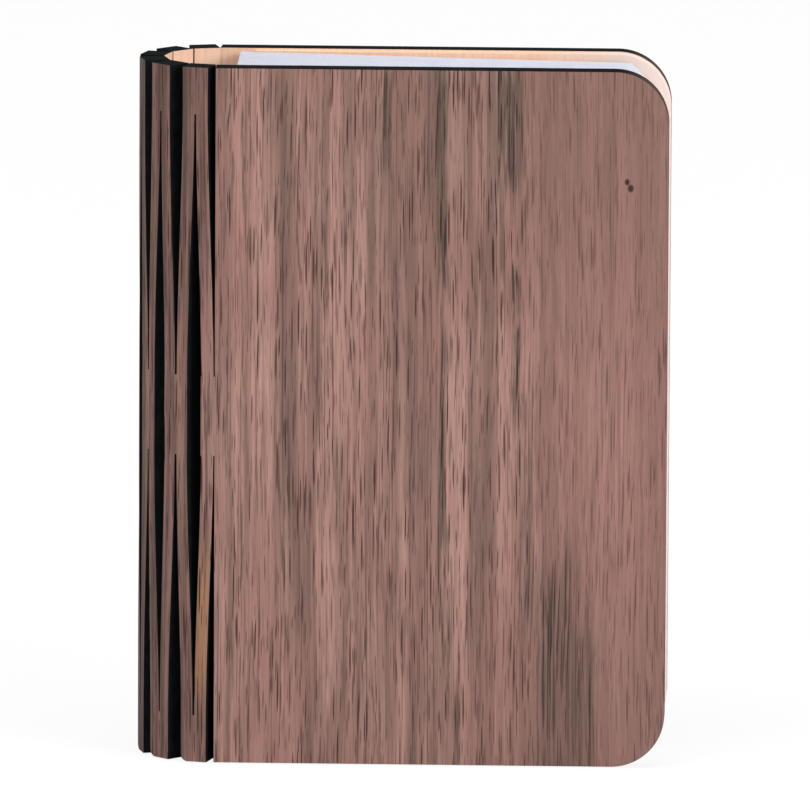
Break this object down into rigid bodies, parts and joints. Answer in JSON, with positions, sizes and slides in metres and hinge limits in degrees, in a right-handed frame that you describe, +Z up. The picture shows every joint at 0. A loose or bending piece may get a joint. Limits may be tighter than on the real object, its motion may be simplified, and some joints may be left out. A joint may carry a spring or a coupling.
{
  "type": "folding book lamp",
  "caption": "Wooden book-shaped lamp whose lattice-cut spine lets the covers fold right round, spreading a fan of folded paper pages lit from strips beside the spine.",
  "frame": {"origin": "on the ground, at the middle of the closed book's width and thickness", "axes": "+Z up along the spine, +X from the spine to the fore-edge, +Y from the front cover to the back cover"},
  "size_m": [0.092, 0.0274, 0.122],
  "materials": {
    "walnut": "matte",
    "pale_lining": "satin",
    "paper": "matte",
    "strip_white": "matte",
    "cell_foil": "satin",
    "board_green": "satin",
    "socket_steel": "brushed",
    "sensor_black": "matte",
    "magnet_nickel": "polished"
  },
  "bodies": {
    "back_cover": {"back_cover": "walnut", "back_lining": "pale_lining", "back_light_strip": "strip_white", "battery": "cell_foil", "control_board": "board_green", "charging_socket": "socket_steel", "lid_sensor": "sensor_black", "back_magnets": "magnet_nickel"},
    "slat_1": {"slat_1": "walnut", "slat_bars_1": "walnut"},
    "link_1": {"link_1": "walnut"},
    "slat_2": {"slat_2": "walnut", "slat_bars_2": "walnut"},
    "link_2": {"link_2": "walnut"},
    "slat_3": {"slat_3": "walnut", "slat_bars_3": "walnut"},
    "link_3": {"link_3": "walnut"},
    "slat_4": {"slat_4": "walnut", "slat_bars_4": "walnut"},
    "link_4": {"link_4": "walnut"},
    "slat_5": {"slat_5": "walnut", "slat_bars_5": "walnut"},
    "link_5": {"link_5": "walnut"},
    "slat_6": {"slat_6": "walnut", "slat_bars_6": "walnut"},
    "front_cover": {"front_cover": "walnut", "front_lining": "pale_lining", "front_light_strip": "strip_white", "front_magnets": "magnet_nickel", "sensor_magnet": "magnet_nickel"},
    "page_01": {"page_01": "paper"},
    "page_02": {"page_02": "paper"},
    "page_03": {"page_03": "paper"},
    "page_04": {"page_04": "paper"},
    "page_05": {"page_05": "paper"},
    "page_06": {"page_06": "paper"},
    "page_07": {"page_07": "paper"},
    "page_08": {"page_08": "paper"},
    "page_09": {"page_09": "paper"},
    "page_10": {"page_10": "paper"},
    "page_11": {"page_11": "paper"},
    "page_12": {"page_12": "paper"},
    "page_13": {"page_13": "paper"},
    "page_14": {"page_14": "paper"},
    "page_15": {"page_15": "paper"},
    "page_16": {"page_16": "paper"},
    "page_17": {"page_17": "paper"},
    "page_18": {"page_18": "paper"},
    "page_19": {"page_19": "paper"},
    "page_20": {"page_20": "paper"},
    "page_21": {"page_21": "paper"},
    "page_22": {"page_22": "paper"},
    "page_23": {"page_23": "paper"},
    "page_24": {"page_24": "paper"}
  },
  "joints": [
    {"name": "spine_fold_01", "type": "hinge", "parent": "back_cover", "child": "slat_1", "pos_m": [-0.03377, 0.01139, 0], "axis": [0, 0, -1], "range_deg": [0, 30], "deforming": ["slat_bars_1"]},
    {"name": "spine_fold_02", "type": "hinge", "parent": "slat_1", "child": "link_1", "pos_m": [-0.03667, 0.01062, 0], "axis": [0, 0, -1], "range_deg": [-0.5, 30.5], "deforming": ["slat_bars_1"]},
    {"name": "spine_fold_03", "type": "hinge", "parent": "link_1", "child": "slat_2", "pos_m": [-0.03926, 0.00912, 0], "axis": [0, 0, -1], "range_deg": [-0.5, 30.5], "deforming": ["slat_bars_2"]},
    {"name": "spine_fold_04", "type": "hinge", "parent": "slat_2", "child": "link_2", "pos_m": [-0.04138, 0.007, 0], "axis": [0, 0, -1], "range_deg": [-0.5, 30.5], "deforming": ["slat_bars_2"]},
    {"name": "spine_fold_05", "type": "hinge", "parent": "link_2", "child": "slat_3", "pos_m": [-0.04288, 0.0044, 0], "axis": [0, 0, -1], "range_deg": [-0.5, 30.5], "deforming": ["slat_bars_3"]},
    {"name": "spine_fold_06", "type": "hinge", "parent": "slat_3", "child": "link_3", "pos_m": [-0.04366, 0.0015, 0], "axis": [0, 0, -1], "range_deg": [-0.5, 30.5], "deforming": ["slat_bars_3"]},
    {"name": "spine_fold_07", "type": "hinge", "parent": "link_3", "child": "slat_4", "pos_m": [-0.04366, -0.0015, 0], "axis": [0, 0, -1], "range_deg": [-0.5, 30.5], "deforming": ["slat_bars_4"]},
    {"name": "spine_fold_08", "type": "hinge", "parent": "slat_4", "child": "link_4", "pos_m": [-0.04288, -0.0044, 0], "axis": [0, 0, -1], "range_deg": [-0.5, 30.5], "deforming": ["slat_bars_4"]},
    {"name": "spine_fold_09", "type": "hinge", "parent": "link_4", "child": "slat_5", "pos_m": [-0.04138, -0.007, 0], "axis": [0, 0, -1], "range_deg": [-0.5, 30.5], "deforming": ["slat_bars_5"]},
    {"name": "spine_fold_10", "type": "hinge", "parent": "slat_5", "child": "link_5", "pos_m": [-0.03926, -0.00912, 0], "axis": [0, 0, -1], "range_deg": [-0.5, 30.5], "deforming": ["slat_bars_5"]},
    {"name": "spine_fold_11", "type": "hinge", "parent": "link_5", "child": "slat_6", "pos_m": [-0.03667, -0.01062, 0], "axis": [0, 0, -1], "range_deg": [-0.5, 30.5], "deforming": ["slat_bars_6"]},
    {"name": "spine_fold_12", "type": "hinge", "parent": "slat_6", "child": "front_cover", "pos_m": [-0.03377, -0.01139, 0], "axis": [0, 0, -1], "range_deg": [-0.5, 30.5], "deforming": ["slat_bars_6"]},
    {"name": "page_fold_01", "type": "hinge", "parent": "back_cover", "child": "page_01", "pos_m": [-0.02917, 0.00828, 0], "axis": [0, 0, -1], "range_deg": [-0.5, 16.43]},
    {"name": "page_fold_02", "type": "hinge", "parent": "slat_1", "child": "page_02", "pos_m": [-0.02917, 0.00756, 0], "axis": [0, 0, -1], "range_deg": [-16.43, 0.5]},
    {"name": "page_fold_03", "type": "hinge", "parent": "slat_1", "child": "page_03", "pos_m": [-0.02917, 0.00684, 0], "axis": [0, 0, -1], "range_deg": [-0.5, 17.04]},
    {"name": "page_fold_04", "type": "hinge", "parent": "link_1", "child": "page_04", "pos_m": [-0.02917, 0.00612, 0], "axis": [0, 0, -1], "range_deg": [-17.04, 0.5]},
    {"name": "page_fold_05", "type": "hinge", "parent": "link_1", "child": "page_05", "pos_m": [-0.02917, 0.0054, 0], "axis": [0, 0, -1], "range_deg": [-0.5, 17.58]},
    {"name": "page_fold_06", "type": "hinge", "parent": "slat_2", "child": "page_06", "pos_m": [-0.02917, 0.00468, 0], "axis": [0, 0, -1], "range_deg": [-17.58, 0.5]},
    {"name": "page_fold_07", "type": "hinge", "parent": "slat_2", "child": "page_07", "pos_m": [-0.02917, 0.00396, 0], "axis": [0, 0, -1], "range_deg": [-0.5, 18.02]},
    {"name": "page_fold_08", "type": "hinge", "parent": "link_2", "child": "page_08", "pos_m": [-0.02917, 0.00324, 0], "axis": [0, 0, -1], "range_deg": [-18.02, 0.5]},
    {"name": "page_fold_09", "type": "hinge", "parent": "link_2", "child": "page_09", "pos_m": [-0.02917, 0.00252, 0], "axis": [0, 0, -1], "range_deg": [-0.5, 18.32]},
    {"name": "page_fold_10", "type": "hinge", "parent": "slat_3", "child": "page_10", "pos_m": [-0.02917, 0.0018, 0], "axis": [0, 0, -1], "range_deg": [-18.32, 0.5]},
    {"name": "page_fold_11", "type": "hinge", "parent": "slat_3", "child": "page_11", "pos_m": [-0.02917, 0.00108, 0], "axis": [0, 0, -1], "range_deg": [-0.5, 18.47]},
    {"name": "page_fold_12", "type": "hinge", "parent": "link_3", "child": "page_12", "pos_m": [-0.02917, 0.00036, 0], "axis": [0, 0, -1], "range_deg": [-18.47, 0.5]},
    {"name": "page_fold_13", "type": "hinge", "parent": "link_3", "child": "page_13", "pos_m": [-0.02917, -0.00036, 0], "axis": [0, 0, -1], "range_deg": [-0.5, 18.46]},
    {"name": "page_fold_14", "type": "hinge", "parent": "slat_4", "child": "page_14", "pos_m": [-0.02917, -0.00108, 0], "axis": [0, 0, -1], "range_deg": [-18.46, 0.5]},
    {"name": "page_fold_15", "type": "hinge", "parent": "slat_4", "child": "page_15", "pos_m": [-0.02917, -0.0018, 0], "axis": [0, 0, -1], "range_deg": [-0.5, 18.29]},
    {"name": "page_fold_16", "type": "hinge", "parent": "link_4", "child": "page_16", "pos_m": [-0.02917, -0.00252, 0], "axis": [0, 0, -1], "range_deg": [-18.29, 0.5]},
    {"name": "page_fold_17", "type": "hinge", "parent": "link_4", "child": "page_17", "pos_m": [-0.02917, -0.00324, 0], "axis": [0, 0, -1], "range_deg": [-0.5, 17.98]},
    {"name": "page_fold_18", "type": "hinge", "parent": "slat_5", "child": "page_18", "pos_m": [-0.02917, -0.00396, 0], "axis": [0, 0, -1], "range_deg": [-17.98, 0.5]},
    {"name": "page_fold_19", "type": "hinge", "parent": "slat_5", "child": "page_19", "pos_m": [-0.02917, -0.00468, 0], "axis": [0, 0, -1], "range_deg": [-0.5, 17.54]},
    {"name": "page_fold_20", "type": "hinge", "parent": "link_5", "child": "page_20", "pos_m": [-0.02917, -0.0054, 0], "axis": [0, 0, -1], "range_deg": [-17.54, 0.5]},
    {"name": "page_fold_21", "type": "hinge", "parent": "link_5", "child": "page_21", "pos_m": [-0.02917, -0.00612, 0], "axis": [0, 0, -1], "range_deg": [-0.5, 17.01]},
    {"name": "page_fold_22", "type": "hinge", "parent": "slat_6", "child": "page_22", "pos_m": [-0.02917, -0.00684, 0], "axis": [0, 0, -1], "range_deg": [-17.01, 0.5]},
    {"name": "page_fold_23", "type": "hinge", "parent": "slat_6", "child": "page_23", "pos_m": [-0.02917, -0.00756, 0], "axis": [0, 0, -1], "range_deg": [-0.5, 16.41]},
    {"name": "page_fold_24", "type": "hinge", "parent": "front_cover", "child": "page_24", "pos_m": [-0.02917, -0.00828, 0], "axis": [0, 0, -1], "range_deg": [-16.41, 0.5]}
  ],
  "couplings": [
    {"joint": "spine_fold_02", "follows": "spine_fold_01", "ratio": 1},
    {"joint": "spine_fold_03", "follows": "spine_fold_01", "ratio": 1},
    {"joint": "spine_fold_04", "follows": "spine_fold_01", "ratio": 1},
    {"joint": "spine_fold_05", "follows": "spine_fold_01", "ratio": 1},
    {"joint": "spine_fold_06", "follows": "spine_fold_01", "ratio": 1},
    {"joint": "spine_fold_07", "follows": "spine_fold_01", "ratio": 1},
    {"joint": "spine_fold_08", "follows": "spine_fold_01", "ratio": 1},
    {"joint": "spine_fold_09", "follows": "spine_fold_01", "ratio": 1},
    {"joint": "spine_fold_10", "follows": "spine_fold_01", "ratio": 1},
    {"joint": "spine_fold_11", "follows": "spine_fold_01", "ratio": 1},
    {"joint": "spine_fold_12", "follows": "spine_fold_01", "ratio": 1},
    {"joint": "page_fold_01", "follows": "spine_fold_01", "ratio": 0.531},
    {"joint": "page_fold_02", "follows": "spine_fold_01", "ratio": -0.531},
    {"joint": "page_fold_03", "follows": "spine_fold_01", "ratio": 0.5512},
    {"joint": "page_fold_04", "follows": "spine_fold_01", "ratio": -0.5512},
    {"joint": "page_fold_05", "follows": "spine_fold_01", "ratio": 0.5693},
    {"joint": "page_fold_06", "follows": "spine_fold_01", "ratio": -0.5693},
    {"joint": "page_fold_07", "follows": "spine_fold_01", "ratio": 0.5839},
    {"joint": "page_fold_08", "follows": "spine_fold_01", "ratio": -0.5839},
    {"joint": "page_fold_09", "follows": "spine_fold_01", "ratio": 0.5941},
    {"joint": "page_fold_10", "follows": "spine_fold_01", "ratio": -0.5941},
    {"joint": "page_fold_11", "follows": "spine_fold_01", "ratio": 0.5991},
    {"joint": "page_fold_12", "follows": "spine_fold_01", "ratio": -0.5991},
    {"joint": "page_fold_13", "follows": "spine_fold_01", "ratio": 0.5987},
    {"joint": "page_fold_14", "follows": "spine_fold_01", "ratio": -0.5987},
    {"joint": "page_fold_15", "follows": "spine_fold_01", "ratio": 0.5931},
    {"joint": "page_fold_16", "follows": "spine_fold_01", "ratio": -0.5931},
    {"joint": "page_fold_17", "follows": "spine_fold_01", "ratio": 0.5825},
    {"joint": "page_fold_18", "follows": "spine_fold_01", "ratio": -0.5825},
    {"joint": "page_fold_19", "follows": "spine_fold_01", "ratio": 0.5679},
    {"joint": "page_fold_20", "follows": "spine_fold_01", "ratio": -0.5679},
    {"joint": "page_fold_21", "follows": "spine_fold_01", "ratio": 0.5502},
    {"joint": "page_fold_22", "follows": "spine_fold_01", "ratio": -0.5502},
    {"joint": "page_fold_23", "follows": "spine_fold_01", "ratio": 0.5305},
    {"joint": "page_fold_24", "follows": "spine_fold_01", "ratio": -0.5305}
  ]
}
